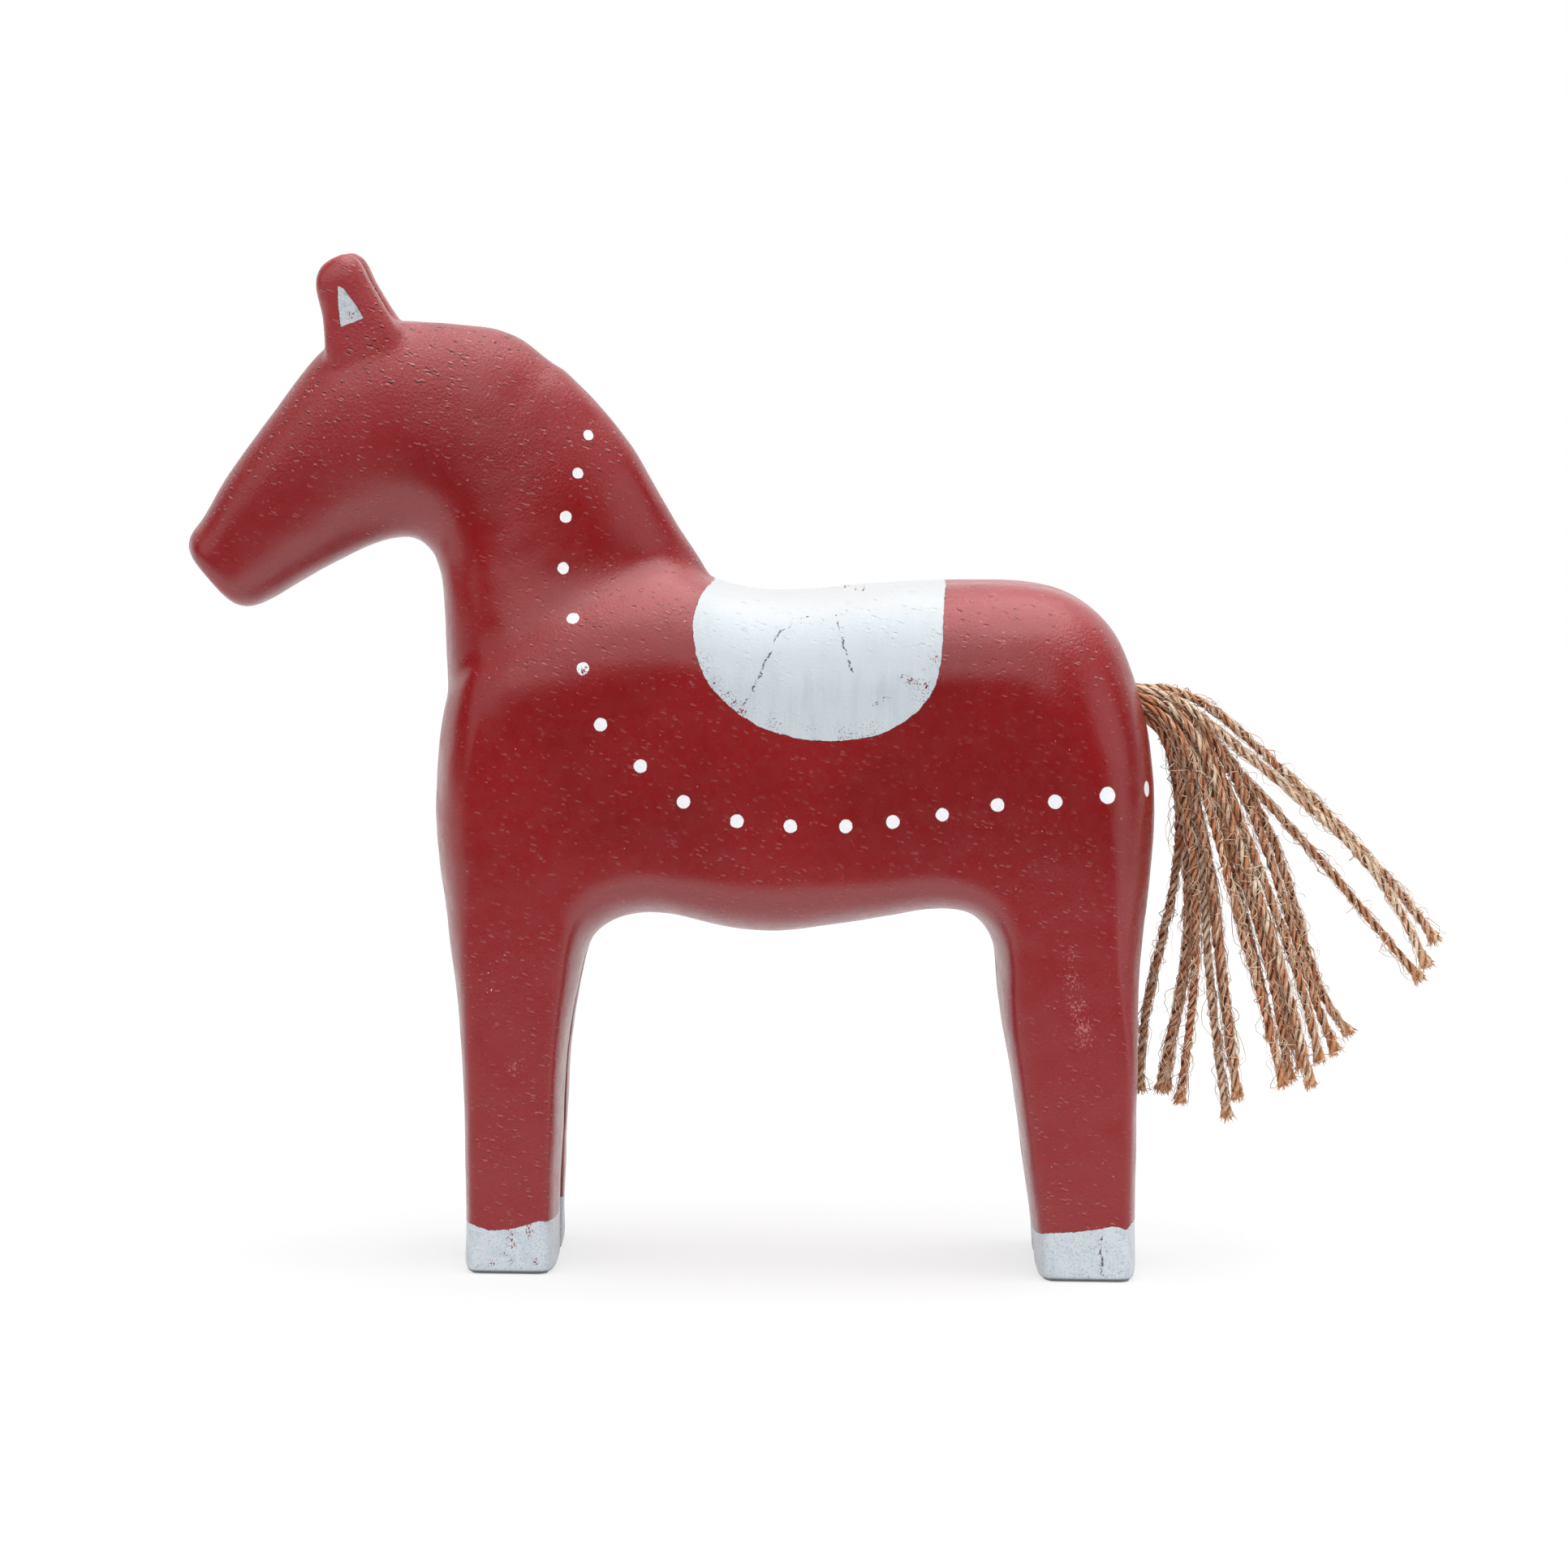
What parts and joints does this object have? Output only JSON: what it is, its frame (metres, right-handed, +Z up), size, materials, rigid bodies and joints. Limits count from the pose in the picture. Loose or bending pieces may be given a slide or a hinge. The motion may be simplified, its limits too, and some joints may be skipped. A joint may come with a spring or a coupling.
{
  "type": "painted wooden toy horse",
  "caption": "Carved wooden toy horse standing on block legs, with upright ears, a painted saddle and dotted garland, and a loose tail of cut twine set in a bored rump.",
  "frame": {"origin": "on the floor under the middle of the carved body's length and width", "axes": "+Z up, -X towards the nose, +X towards the tail, +Y to the horse's right-hand side"},
  "size_m": [0.2502, 0.056, 0.2],
  "materials": {
    "red_paint": "satin red paint over carved wood",
    "jute": "natural three-ply twine",
    "glue": "set wood glue"
  },
  "bodies": {
    "root": {"carved_body": "red_paint", "tail_glue": "glue", "tail_strand_01": "jute", "tail_strand_02": "jute", "tail_strand_03": "jute", "tail_strand_04": "jute", "tail_strand_05": "jute", "tail_strand_06": "jute", "tail_strand_07": "jute", "tail_strand_08": "jute", "tail_strand_09": "jute", "tail_strand_10": "jute", "tail_strand_11": "jute", "tail_strand_12": "jute", "tail_strand_13": "jute", "tail_strand_14": "jute", "tail_strand_15": "jute", "tail_strand_16": "jute", "tail_strand_17": "jute", "tail_strand_18": "jute", "tail_strand_19": "jute"}
  },
  "joints": []
}
